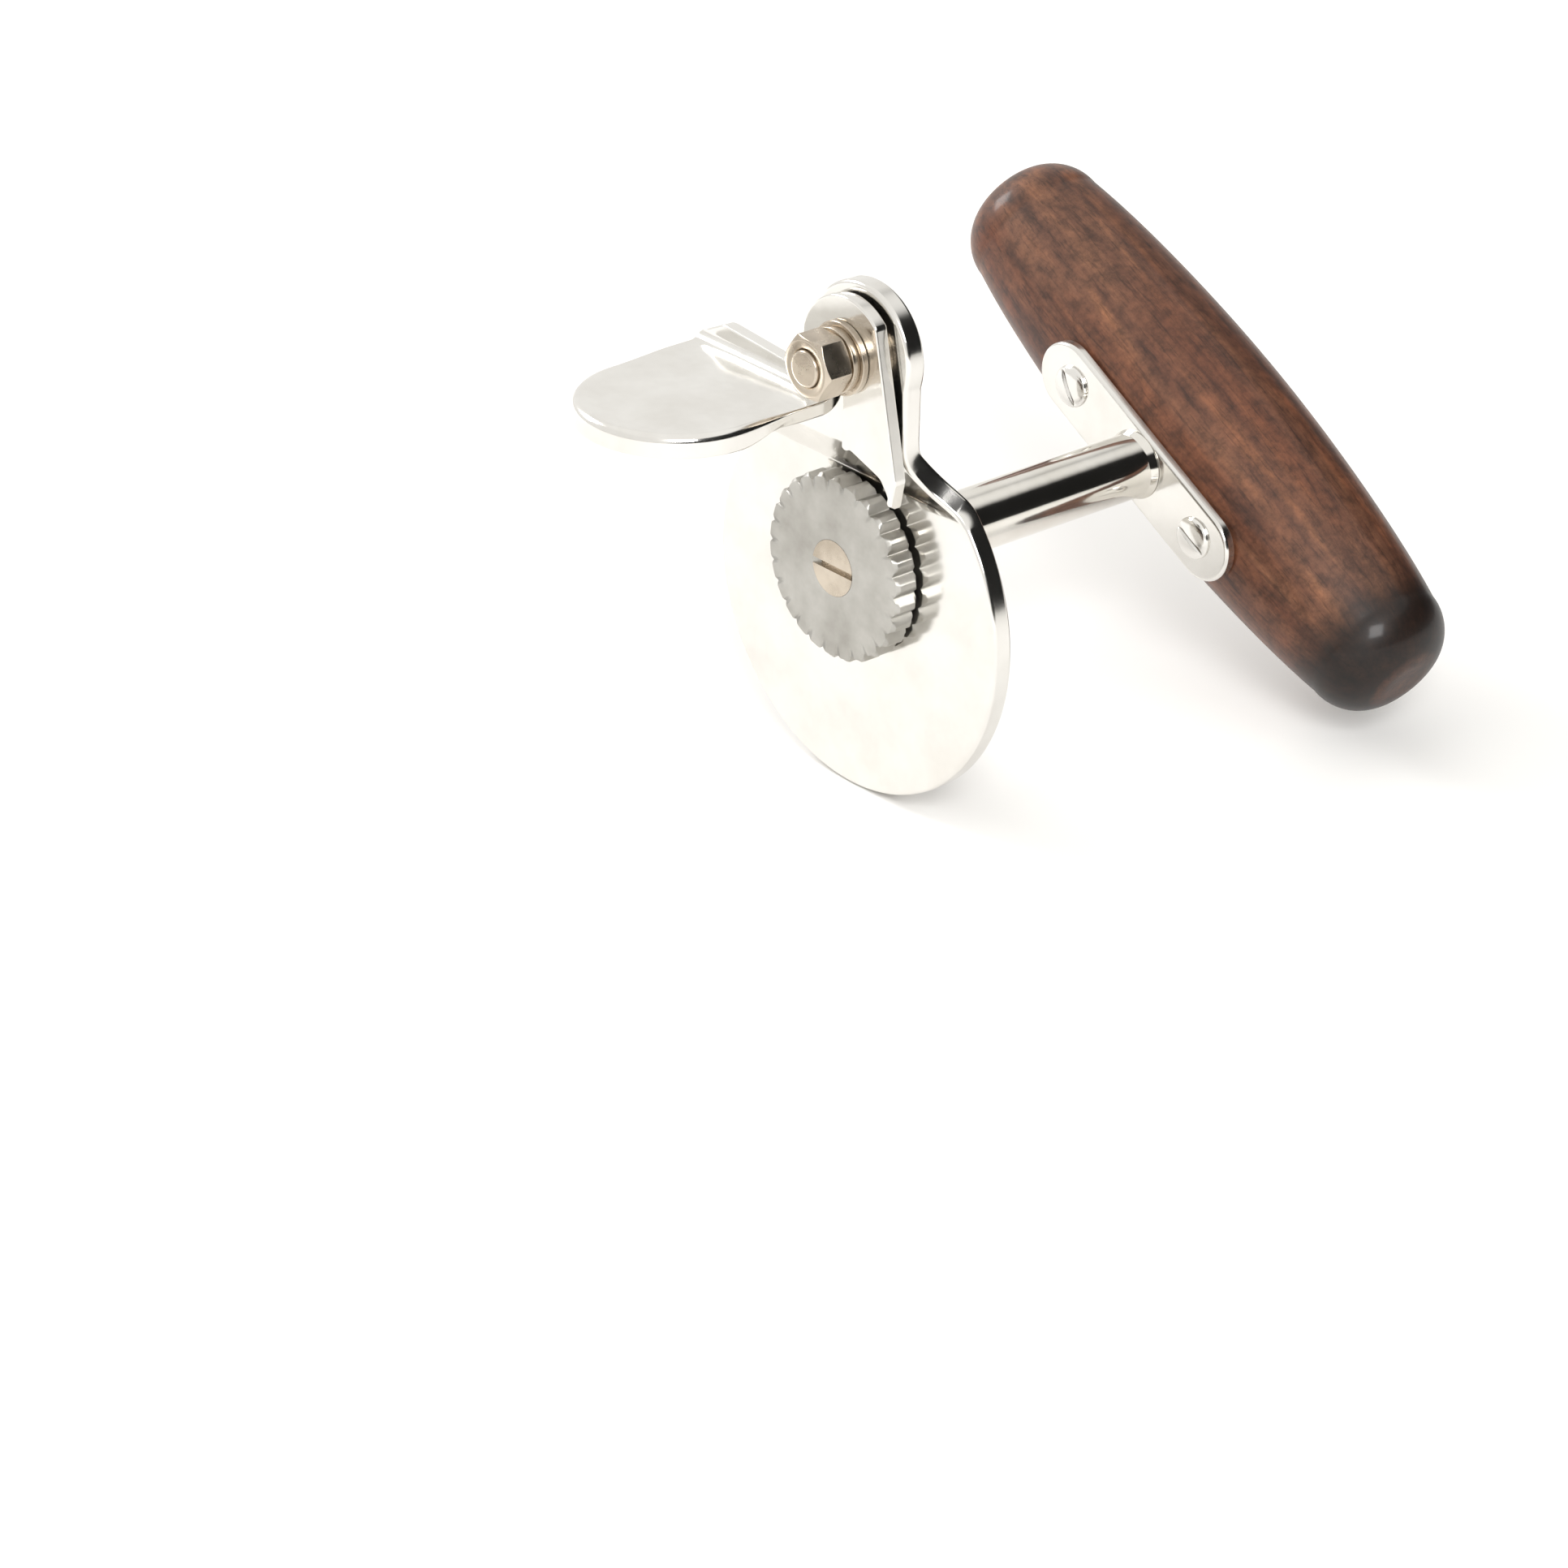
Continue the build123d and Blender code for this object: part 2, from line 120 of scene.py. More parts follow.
def evenly(outline, step):
    """A closed outline drawn again with points at equal steps along its length."""
    loop = np.vstack([outline, outline[:1]])
    run = np.r_[0, np.cumsum(np.linalg.norm(np.diff(loop, axis=0), axis=1))]
    at = np.linspace(0, run[-1], int(run[-1] / step), endpoint=False)
    return np.stack([np.interp(at, run, loop[:, 0]), np.interp(at, run, loop[:, 1])], 1)


def inside(points, outline):
    """Whether each point is inside a closed outline, by the count of edges to its right."""
    x, z = points[:, :1], points[:, 1:]
    a, b = outline, np.roll(outline, -1, 0)
    level = (a[:, 1] > z) != (b[:, 1] > z)
    rise = np.where(np.abs(b[:, 1] - a[:, 1]) < 1e-12, 1e-12, b[:, 1] - a[:, 1])
    return ((level & (x < a[:, 0] + (z - a[:, 1]) * (b[:, 0] - a[:, 0]) / rise)).sum(1) % 2) == 1


def in_metal(points, loops):
    """Whether each point is within the loops that turn left and outside those that turn right.

    A loop turns left when its signed area, half the sum of its points' cross products, is positive.
    """
    kept = np.ones(len(points), bool)
    for loop in loops:
        ahead = np.roll(loop, -1, 0)
        turns_left = (loop[:, 0] * ahead[:, 1] - ahead[:, 0] * loop[:, 1]).sum() > 0
        kept &= inside(points, loop) == turns_left
    return kept


def make_piece(name, points, faces, normals, body, stands_for):
    """A mesh in the row frame from points in millimetres, with smooth shading from given normals."""
    mesh = bpy.data.meshes.new(name)
    mesh.from_pydata((points * 0.001).tolist(), [], faces)
    mesh.polygons.foreach_set("use_smooth", np.ones(len(mesh.polygons), bool))
    mesh.update()
    if normals is not None:
        mesh.normals_split_custom_set_from_vertices(normals.tolist())
    piece = bpy.data.objects.new(name, mesh)
    bpy.context.scene.collection.objects.link(piece)
    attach(piece, body)
    if stands_for:
        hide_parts(stands_for)
    return piece


def press(name, outlines, sections, form, grid, body, stands_for, mitre=1):
    """Sheet metal: outlines carried round their edge sections, and both faces filled.

    Each outline has the metal on its left. Its edge section, one for each point, goes from the
    can side to the far side as (outward, depth) pairs. form(x, z, depth) bends the flat blank to
    shape, and normals follow by the inverse transpose of its local slopes. At sharp corners the
    outward way is averaged over a few points, the mitre, so that a wide bevel doesn't fold over.
    """
    flat, facing, faces = [], [], []
    rims, count = [[], []], 0
    margin = 0.6                                # between the rim and the nearest filled point
    for outline, (section, section_normal) in zip(outlines, sections):
        step = np.roll(outline, -1, 0) - np.roll(outline, 1, 0)
        step /= np.linalg.norm(step, axis=1)[:, None]
        outward = np.stack([step[:, 1], -step[:, 0]], 1)
        rows, around = section.shape[0], len(outline)
        wrapped = np.pad(outward, ((mitre, mitre), (0, 0)), mode="wrap")
        blunt = sum(wrapped[k : k + around] for k in range(2 * mitre + 1))
        blunt /= np.linalg.norm(blunt, axis=1)[:, None]
        place = outline[None] + section[..., :1] * blunt[None]
        flat.append(np.concatenate([place, section[..., 1:]], 2).reshape(-1, 3))
        turned = section_normal[..., :1] * outward[None]
        facing.append(np.concatenate([turned, section_normal[..., 1:]], 2).reshape(-1, 3))
        number = count + np.arange(rows * around).reshape(rows, around)
        after = np.roll(number, -1, 1)
        quads = np.stack([number[:-1], number[1:], after[1:], after[:-1]], 2)
        faces += quads.reshape(-1, 4).tolist()
        rims[0].append(number[0])
        rims[1].append(number[-1])
        count += rows * around
    for side, away in ((0, -1.0), (1, 1.0)):
        done = np.vstack(flat)
        ring = np.concatenate(rims[side])
        rim = done[ring]
        depth = float(np.median(rim[:, 2]))
        loops = [done[numbers][:, :2] for numbers in rims[side]]
        near = np.linalg.norm(grid[:, None] - rim[None, :, :2], axis=2).min(1)
        fill = grid[(near > margin) & in_metal(grid, loops)]
        cloud = np.vstack([rim[:, :2], fill])
        edges, start = [], 0
        for loop in loops:
            index = start + np.arange(len(loop))
            edges += np.stack([index, np.roll(index, -1)], 1).tolist()
            start += len(loop)
        spots = [Vector(spot) for spot in cloud.tolist()]
        _, _, triangles, source, _, _ = delaunay_2d_cdt(spots, edges, [], 0, 1e-6, True)
        origin = np.array([first[0] for first in source])
        triangles = origin[np.array(triangles)]
        corner = cloud[triangles]
        good = in_metal(corner.mean(1), loops)
        a, b = corner[:, 1] - corner[:, 0], corner[:, 2] - corner[:, 0]
        counter = (a[:, 0] * b[:, 1] - a[:, 1] * b[:, 0]) > 0
        want = counter if side == 0 else ~counter
        triangles = np.where(want[:, None], triangles, triangles[:, ::-1])[good]
        lookup = np.concatenate([ring, count + np.arange(len(fill))])
        faces += lookup[triangles].tolist()
        flat.append(np.column_stack([fill, np.full(len(fill), depth)]))
        facing.append(np.tile([0.0, 0.0, away], (len(fill), 1)))
        count += len(fill)
    flat, facing = np.vstack(flat), np.vstack(facing)
    tiny = 1e-3
    nudges = tiny * np.eye(3)
    slopes = [(form(*(flat + way).T) - form(*(flat - way).T)) / (2 * tiny) for way in nudges]
    slopes = np.stack(slopes, 1)
    normals = np.linalg.solve(slopes, facing[..., None])[..., 0]
    normals /= np.linalg.norm(normals, axis=1)[:, None]
    return make_piece(name, form(*flat.T), faces, normals, body, stands_for)


def plain_edge(outline, thickness, front_r, back_r):
    """The same sheared and tumbled edge at every point of an outline."""
    front = [(-2 * front_r, 0, 0), (0, 0, front_r)]
    back = [(0, thickness, back_r), (-2 * back_r, thickness, 0)]
    points, normals = rounded(front + back)
    points, normals = points[1:-1], normals[1:-1]
    shape = (len(points), len(outline), 2)
    return np.broadcast_to(points[:, None], shape), np.broadcast_to(normals[:, None], shape)


def nickel(name, colour, shade, roughness, polish_line):
    """Polished nickel: soft cloudy tone, roughness that varies, and fine lines left by the mop."""
    material = bpy.data.materials.new(name)
    material.use_nodes = True
    tree = material.node_tree
    shader = tree.nodes["Principled BSDF"]
    where = add_node(tree, "TexCoord").outputs["Object"]
    cloud = add_node(
        tree, "TexNoise", {"Vector": where, "Scale": 110.0, "Detail": 4.0, "Roughness": 0.6}
    )
    lines = add_node(tree, "Mapping", {"Vector": where, "Scale": polish_line})
    mop = add_node(
        tree, "TexNoise",
        {"Vector": lines.outputs["Vector"], "Scale": 400.0, "Detail": 5.0, "Roughness": 0.7},
    )
    tone = add_node(tree, "ValToRGB", {"Fac": cloud.outputs["Fac"]})
    tone.color_ramp.elements[0].position = 0.3
    tone.color_ramp.elements[0].color = linear(shade)
    tone.color_ramp.elements[1].position = 0.62
    tone.color_ramp.elements[1].color = linear(colour)
    rough = add_node(
        tree, "MapRange",
        {"Value": cloud.outputs["Fac"], "From Min": 0.3, "From Max": 0.7,
         "To Min": roughness * 0.8, "To Max": roughness * 1.35},
    )
    rougher = add_node(
        tree, "Math", {0: mop.outputs["Fac"], 1: roughness * 0.5, 2: rough.outputs["Result"]},
        operation="MULTIPLY_ADD",
    )
    wave = add_node(tree, "TexNoise", {"Vector": where, "Scale": 160.0, "Detail": 2.0})
    swell = add_node(
        tree, "Bump", {"Height": wave.outputs["Fac"], "Strength": 0.25, "Distance": 0.00012}
    )
    scratch = add_node(
        tree, "Bump",
        {"Height": mop.outputs["Fac"], "Normal": swell.outputs["Normal"],
         "Strength": 0.12, "Distance": 0.00001},
    )
    tree.links.new(tone.outputs["Color"], shader.inputs["Base Color"])
    tree.links.new(rougher.outputs["Value"], shader.inputs["Roughness"])
    tree.links.new(scratch.outputs["Normal"], shader.inputs["Normal"])
    shader.inputs["Metallic"].default_value = 1.0
    return material


# Nickel on polished steel is a slightly warm white metal with soft, wavy reflections.
polished_nickel = nickel("polished_nickel_plate", "E6E4E0", "DCD9D4", 0.11, (0.12, 1.0, 1.0))

plate_t, plate_edge_r = 3.0, 0.6
guard_centre, guard_r = (0.0, -5.6), 27.3
pivot, head_r = np.array((4.8, 32.5)), 9.5
arm_low_z, arm_high_z = 11.718, 21.282          # where the joggle starts and ends
guard_y, arm_y = 3.9, -1.1                      # the strip's middle line in each level run
bend_r, bend_run = 4.0, 2.325                   # each bend's radius and its height
ramp_fall, ramp_top_z = 5 / 7, 13               # the slope, and where its line meets guard_y
half_way_z = 16                                 # on the slope, between the bends


def joggled(x, z, depth):
    """The strip's middle line is two level runs joined by a 5 in 7 slope with 4 mm bends."""
    above, below = z - arm_low_z, arm_high_z - z
    low_arc = np.sqrt(np.maximum(bend_r**2 - np.clip(above, 0, bend_r - 0.1) ** 2, 0))
    high_arc = np.sqrt(np.maximum(bend_r**2 - np.clip(below, 0, bend_r - 0.1) ** 2, 0))
    ramp = guard_y - ramp_fall * (z - ramp_top_z)
    upper = np.where(z < arm_high_z - bend_run, ramp, arm_y + (bend_r - high_arc))
    middle = np.where(z < arm_low_z + bend_run, guard_y - (bend_r - low_arc), upper)
    in_low, in_high = np.clip(above, 0, bend_run), np.clip(below, 0, bend_run)
    low_slope = -in_low / np.sqrt(bend_r**2 - in_low**2)
    high_slope = -in_high / np.sqrt(bend_r**2 - in_high**2)
    slope = np.where(z < half_way_z, low_slope, high_slope)
    length = np.sqrt(1 + slope**2)
    lift = (depth - plate_t / 2) / length
    return np.stack([x, middle + lift, z - slope * lift], -1)


# The arcs of the outline end at their tangent points, given as angles in degrees.
plate_outline = np.vstack(
    [
        arc(pivot, head_r, -16.7, 196.7),
        arc((-13.3, 28.18), 9.0, 0.0, -68.5),
        arc(guard_centre, guard_r, 111.5, 410.9),
        arc((22.9, 22.57), 9.0, 230.9, 180.0),
    ]
)
plate_outline = evenly(plate_outline, 0.4)
bush_hole = evenly(arc((0, 0), 5.52, 360, 5, 0.4), 0.4)
bolt_hole = evenly(arc(pivot, 2.52, 360, 8, 0.3), 0.3)
plate_outlines = [plate_outline, bush_hole, bolt_hole]
# The points that fill the faces lie closer together where the strip bends.
columns, rows = np.meshgrid(np.arange(-27, 27.1, 1.5), np.r_[-32:11:1.5, 11:22:0.4, 22:42:1.5])
plate_edges = [
    plain_edge(plate_outline, plate_t, plate_edge_r, plate_edge_r),
    plain_edge(bush_hole, plate_t, 0.1, 0.1),
    plain_edge(bolt_hole, plate_t, 0.1, 0.1),
]
frame_plate = press(
    "plate", plate_outlines, plate_edges, joggled,
    np.stack([columns.ravel(), rows.ravel()], 1), "frame", "frame_plate",
)
frame_plate.data.materials.append(polished_nickel)

# ---- cutter lever ---------------------------------------------------------------------
# One 2 mm sheet of hardened steel, nickel plated. Its wing is bent over into a level thumb
# tongue with a turned-down rim, and its lower edges are ground to a bevel that cuts.

lever_t, lever_y = 2.0, -5.2
tongue_centre_x, tongue_half_w, tongue_straight_v = -10.45, 13.35, 9.773
bend_start_v, bend_mid_r = 27.5, 2.5
slot_x = 3.8                                    # the slot that parts the wing from the head


def folded(x, v, depth):
    """v is height on the upright sheet, then length round the bend and out along the tongue."""
    past = np.where((x < slot_x) & (v < bend_start_v), bend_start_v - v, 0.0)
    angle = np.clip(past / bend_mid_r, 0, math.pi / 2)
    out = np.maximum(past - bend_mid_r * math.pi / 2, 0)
    radius = bend_mid_r + depth - lever_t / 2
    y = lever_y + lever_t / 2 - bend_mid_r + radius * np.cos(angle) - out
    z = np.where(past > 0, bend_start_v, v) - radius * np.sin(angle)
    return np.stack([x, y, z], -1)


wing_outline, _ = rounded(
    [
        (2.9, tongue_straight_v, 0.001),
        (2.9, 27.6, 0.7),
        (4.8, 27.6, 0.7),
        (4.8, 19.3, 0.5),
        (11.7, 17.0, 1.2),
        (14.3, 13.4, 0.5),
        (15.3, 18.2, 0.9),
        (11.05, 36.75, 0.8),
        (10.72, 38.18, 0.3),
    ]
)
wing_top, _ = rounded(
    [
        (-2.6, 28.4, 0.1),
        (-4.8, 28.2, 2.0),
        (-18.8, 29.3, 3.0),
        (-23.8, 26.8, 2.0),
        (-23.8, tongue_straight_v, 0.001),
    ]
)
lever_head_r = 8.2
lever_outline = np.vstack(
    [
        wing_outline,
        arc(pivot, lever_head_r, 44.0, 208.4),
        wing_top,
        arc((tongue_centre_x, tongue_straight_v), tongue_half_w, 180, 360)[1:],
    ]
)
lever_outline = evenly(lever_outline, 0.3)
lever_hole = evenly(arc(pivot, 2.55, 360, 8, 0.3), 0.3)

# Three edge sections with as many points each, so that one can be blended into another. The
# 0.004 mm bulge keeps three corners off one straight line, where an arc has no centre.
plain, plain_normal = rounded(
    [(-0.6, 0, 0), (0, 0, 0.3), (0.004, 0.6, 0.05), (0.004, 1.2, 0.05), (0, 2.0, 0.3), (-0.6, 2.0, 0)]
)
ground, ground_normal = rounded(
    [(-1.9, 0, 0), (-1.3, 0, 0.2), (0, 1.45, 0.05), (0.004, 1.65, 0.03), (0, 2.0, 0.1), (-0.6, 2.0, 0)]
)
turned_down, turned_normal = rounded(
    [(-2.0, 0, 0), (0, 0, 1.2), (0, 3.2, 0.3), (-1.2, 3.2, 0.3), (-1.25, 2.0, 0.5), (-2.6, 2.0, 0)]
)
tongue_right_x, lip_end_v = 3.0, 20.5           # the turned-down rim fades out up to here
blade_left_x, blade_right_x, blade_top_v = 4.9, 14.4, 19.6


def smooth_step(value, low, high):
    """0 below low, 1 above high, and 3t^2 - 2t^3 between."""
    share = np.clip((value - low) / (high - low), 0, 1)
    return share * share * (3 - 2 * share)


x, v = lever_outline.T
lip_share = np.where(x < tongue_right_x, 1 - smooth_step(v, tongue_straight_v, lip_end_v), 0.0)
on_blade = (x > blade_left_x) & (x < blade_right_x) & (v < blade_top_v)
grind_share = np.where(on_blade, 1.0, 0.0)
kernel = np.ones(5) / 5
grind_share = np.convolve(np.r_[grind_share[-2:], grind_share, grind_share[:2]], kernel, "valid")
mix = np.stack([1 - lip_share - grind_share, grind_share, lip_share], 1)
lever_section = np.einsum("pm,mkc->kpc", mix, np.stack([plain, ground, turned_down]))[1:-1]
section_normals = np.stack([plain_normal, ground_normal, turned_normal])
lever_section_normal = np.einsum("pm,mkc->kpc", mix, section_normals)[1:-1]
columns, rows = np.meshgrid(np.arange(-23.5, 15, 0.9), np.r_[-4:23:0.9, 23:28:0.3, 28:41:0.9])
cutter_lever = press(
    "lever", [lever_outline, lever_hole],
    [(lever_section, lever_section_normal), plain_edge(lever_hole, lever_t, 0.1, 0.1)],
    folded, np.stack([columns.ravel(), rows.ravel()], 1), "lever", "cutter_lever",
    mitre=6,
)
cutter_lever.data.materials.append(polished_nickel)

# ---- pivot bolt, nut and washers ------------------------------------------------------
# Bright zinc hardware, turned and rolled from bar: an M5 bolt with a domed head behind the
# arm, a plain washer, a split spring washer and a hexagon nut that pins the lever.


def skin(name, grid, normals, body, stands_for, closed_rows=False, poles=(False, False)):
    """A grid of (rows, around) points closed round each row, whose pole rows are one point."""
    rows, around = grid.shape[:2]
    number = np.arange(rows * around).reshape(rows, around)
    for row, pole in zip((0, -1), poles):
        if pole:
            number[row] = number[row, 0]
    if closed_rows:
        number = np.vstack([number, number[:1]])
    after = np.roll(number, -1, 1)
    quads = np.stack([number[:-1], after[:-1], after[1:], number[1:]], 2).reshape(-1, 4)
    same = (quads == np.roll(quads, -1, 1)).any(1)
    faces = quads[~same].tolist()
    faces += [list(dict.fromkeys(quad)) for quad in quads[same].tolist()]
    used = np.unique(number)
    renumber = np.zeros(rows * around, int)
    renumber[used] = np.arange(len(used))
    faces = [renumber[face].tolist() for face in faces]
    flat_normals = None if normals is None else normals.reshape(-1, 3)[used]
    return make_piece(name, grid.reshape(-1, 3)[used], faces, flat_normals, body, stands_for)


def turned(name, section, centre, body, slot, stands_for, closed=False, around=96):
    """A section of (radius, station) points carried round the Y way, with the section's normals."""
    points, slants = section
    along, across = np.array((0, 1, 0), float), np.array((1, 0, 0), float)
    angle = np.linspace(0, 2 * math.pi, around, endpoint=False)[:, None]
    spoke = np.cos(angle) * across + np.sin(angle) * np.cross(along, across)
    grid = np.array(centre) + points[:, None, 1:] * along + points[:, None, :1] * spoke
    normals = slants[:, None, 1:] * along + slants[:, None, :1] * spoke
    poles = (False, False) if closed else (points[0, 0] < 1e-6, points[-1, 0] < 1e-6)
    return skin(name, grid, normals, body, stands_for, closed, poles)


# Zinc over steel is a little warmer and greyer than nickel, with turning marks round it.
zinc_hardware = nickel("bright_zinc_plate", "C8BDAE", "978B7C", 0.2, (1.0, 0.2, 1.0))

pivot_at = (pivot[0], 0.0, pivot[1])
nut_y, nut_t = -11.7, 4.4
bolt = turned(
    "bolt",
    rounded(
        [(0, nut_y - 0.4, 0), (2.5, nut_y - 0.4, 0.4), (2.5, 0.4, 0.05), (5.0, 0.4, 0.15),
         (5.0, 2.6, 1.9), (0, 2.6, 0)]
    ),
    pivot_at, "frame", "plated_hardware", "pivot_bolt",
)
washer_flat = turned(
    "washer_flat",
    rounded([(2.6, -6.2, 0.1), (5.0, -6.2, 0.2), (5.0, -5.25, 0.2), (2.6, -5.25, 0.1)], closed=True),
    pivot_at, "frame", "plated_hardware", "flat_washer", closed=True,
)

# The spring washer's section sweeps 350 degrees, and a flat cap closes each cut end.
ring, _ = rounded(
    [(2.6, -7.3, 0.12), (4.4, -7.3, 0.15), (4.4, -6.2, 0.15), (2.6, -6.2, 0.12)], closed=True, steps=4
)
sweep = np.radians(np.linspace(-155, 195, 140))
spoke = np.stack([np.cos(sweep), 0 * sweep, np.sin(sweep)], 1)
spring_grid = np.array(pivot_at) + ring[None, :, :1] * spoke[:, None]
spring_grid = spring_grid + ring[None, :, 1:] * np.array([0, 1, 0])
caps = spring_grid[[0, -1]].mean(1, keepdims=True).repeat(len(ring), 1)
small = spring_grid[[0, -1]] * 0.94 + caps * 0.06
spring_grid = np.vstack([caps[:1], small[:1], spring_grid, small[1:], caps[1:]])
washer_spring = skin(
    "washer_spring", spring_grid, None, "frame", "spring_washer", poles=(True, True)
)

# The nut's reach is half its width over the cosine of the angle to the nearest flat. Its six
# corners are rubbed down by 0.05 mm, and both ends are chamfered.
nut_half_flats, nut_turn, rubbed_down = 4.0, math.radians(27), 0.05
angle = np.linspace(0, 2 * math.pi, 360, endpoint=False)
to_flat = (angle - nut_turn + math.pi / 6) % (math.pi / 3) - math.pi / 6
hexagon = nut_half_flats / np.cos(to_flat)
hexagon = hexagon - rubbed_down * np.clip((hexagon - 4.5) / 0.12, 0, 1) ** 2
nut_rows = np.array(
    [(2.52, nut_y + nut_t), (2.52, nut_y + 0.35), (2.6, nut_y + 0.12), (2.85, nut_y)]
    + [(3.6, nut_y), (3.72, nut_y + 0.01)]
    + [(3.8 + 0.09 * k, nut_y + 0.02 + 0.052 * k) for k in range(12)]
    + [(4.9, nut_y + 0.8), (4.9, nut_y + 2.2), (4.9, nut_y + 3.6)]
    + [(4.79 - 0.09 * k, nut_y + nut_t - 0.592 + 0.052 * k) for k in range(12)]
    + [(3.72, nut_y + nut_t - 0.01), (3.6, nut_y + nut_t), (2.6, nut_y + nut_t)]
)
reach = np.minimum(nut_rows[:, :1], np.where(nut_rows[:, :1] > 3.75, hexagon[None], 9.0))
spoke = np.stack([np.cos(angle), 0 * angle, np.sin(angle)], 1)
nut_grid = np.array(pivot_at) + reach[..., None] * spoke[None]
nut_grid = nut_grid + nut_rows[:, None, 1:] * np.array([0, 1, 0])
nut = skin("nut", nut_grid[:, ::-1], None, "frame", "pivot_nut", closed_rows=True)
for piece in (nut, washer_spring):
    piece.modifiers.new("flat faces stay flat", "WEIGHTED_NORMAL").keep_sharp = True
for piece in (bolt, washer_flat, washer_spring, nut):
    piece.data.materials.append(zinc_hardware)

# ---- feed wheel and drive shaft -------------------------------------------------------
# The wheel is hardened steel with 26 hobbed teeth, left bright from the grinding wheel. The
# shaft is turned bar, polished and plated, and welded and riveted to the handle bracket.

section, _ = rounded(
    [(1.8, -1.0, 0.02), (1.85, 0.1, 0.05), (3.95, -1.8, 0.08), (10.4, -1.8, 0.3), (12.5, -1.8, 0.12),
     (13.0, -1.3, 0.12), (13.0, 1.3, 0.12), (12.5, 1.8, 0.12), (3.0, 1.8, 0.1)],
    closed=True, steps=4,
)
# The rim's reach rises from the root of each tooth to its tip and is level for a fifth of it.
teeth, points_a_tooth, root_r, tooth_h = 26, 20, 12.0, 1.05
angle = np.linspace(0, 2 * math.pi, teeth * points_a_tooth, endpoint=False)
phase = np.abs((angle * teeth / (2 * math.pi) + 0.5) % 1 - 0.5) * 2
limit = root_r + np.clip(phase / 0.8, 0, 1) * tooth_h
reach = np.minimum(section[:, :1], np.where(section[:, :1] > root_r - 0.5, limit[None], 99))
spoke = np.stack([np.cos(angle), 0 * angle, -np.sin(angle)], 1)
wheel_grid = reach[..., None] * spoke[None] + section[:, None, 1:] * np.array([0, 1, 0])
wheel = skin("wheel", wheel_grid, None, "crank", "feed_wheel", closed_rows=True)
wheel.modifiers.new("flat faces stay flat", "WEIGHTED_NORMAL").keep_sharp = True
# Ground hardened steel is darker and less glossy than the plate, with fine grinding lines.
ground_steel = nickel("ground_hardened_steel", "B9B7B2", "97948E", 0.3, (1.0, 1.0, 0.15))
wheel.data.materials.append(ground_steel)

shaft_section = rounded(
    [(1.8, 0.1, 0), (2.8, 0.1, 0.15), (2.8, 1.8, 0.1), (3.5, 1.85, 0.15), (3.5, 14.05, 0.1),
     (4.5, 14.05, 0.35), (4.5, 52.2, 0.6), (4.95, 53.4, 0.1), (2.98, 53.42, 0.05),
     (2.98, 55.05, 0.05), (4.2, 55.07, 0.2), (4.2, 56.2, 0.3), (0, 56.25, 0)]
)
shaft = turned("shaft", shaft_section, (0, 0, 0), "crank", "plated_steel", "drive_shaft")
shaft.data.materials.append(nickel("polished_nickel_bar", "E6E3DD", "DAD6CE", 0.08, (1.0, 0.1, 1.0)))

# ---- handle bracket and screws --------------------------------------------------------
# A 1.6 mm strip with round ends, blanked and polished, sits across the shaft's end. Two
# slotted screws with low domed heads hold the wooden handle to it.

crank_turn = math.radians(29.4)
along_handle = np.array([math.cos(crank_turn), 0, -math.sin(crank_turn)])
across_handle = np.array([math.sin(crank_turn), 0, math.cos(crank_turn)])
bracket_y, bracket_t, bracket_half_l, bracket_half_w, bracket_shift = 53.45, 1.6, 21.0, 5.1, -0.5
screw_half_pitch, screw_hole_r, tenon_hole_r = 14.35, 1.62, 3.0
screw_spots = (bracket_shift + screw_half_pitch, bracket_shift - screw_half_pitch)


def on_crank(u, v, depth):
    """u runs along the handle, v across it, and depth away from the can."""
    u, v, depth = (np.asarray(part)[..., None] for part in (u, v, depth))
    return u * along_handle + v * across_handle + (bracket_y + depth) * np.array([0, 1, 0])


run = bracket_half_l - bracket_half_w
near_end = arc((bracket_shift + run, 0), bracket_half_w, -90, 90)
far_end = arc((bracket_shift - run, 0), bracket_half_w, 90, 270)
strip = evenly(np.vstack([near_end, far_end]), 0.35)
holes = [evenly(arc((spot, 0), screw_hole_r, 360, 10, 0.3), 0.3) for spot in screw_spots]
holes += [evenly(arc((0, 0), tenon_hole_r, 360, 8, 0.3), 0.3)]
columns, rows = np.meshgrid(np.arange(-21, 21, 0.9), np.arange(-4.8, 4.9, 0.9))
bracket = press(
    "bracket", [strip] + holes,
    [plain_edge(strip, bracket_t, 0.55, 0.2)] + [plain_edge(hole, bracket_t, 0.08, 0.08) for hole in holes],
    on_crank, np.stack([columns.ravel(), rows.ravel()], 1), "crank", "handle_bracket",
)
bracket.data.materials.append(polished_nickel)

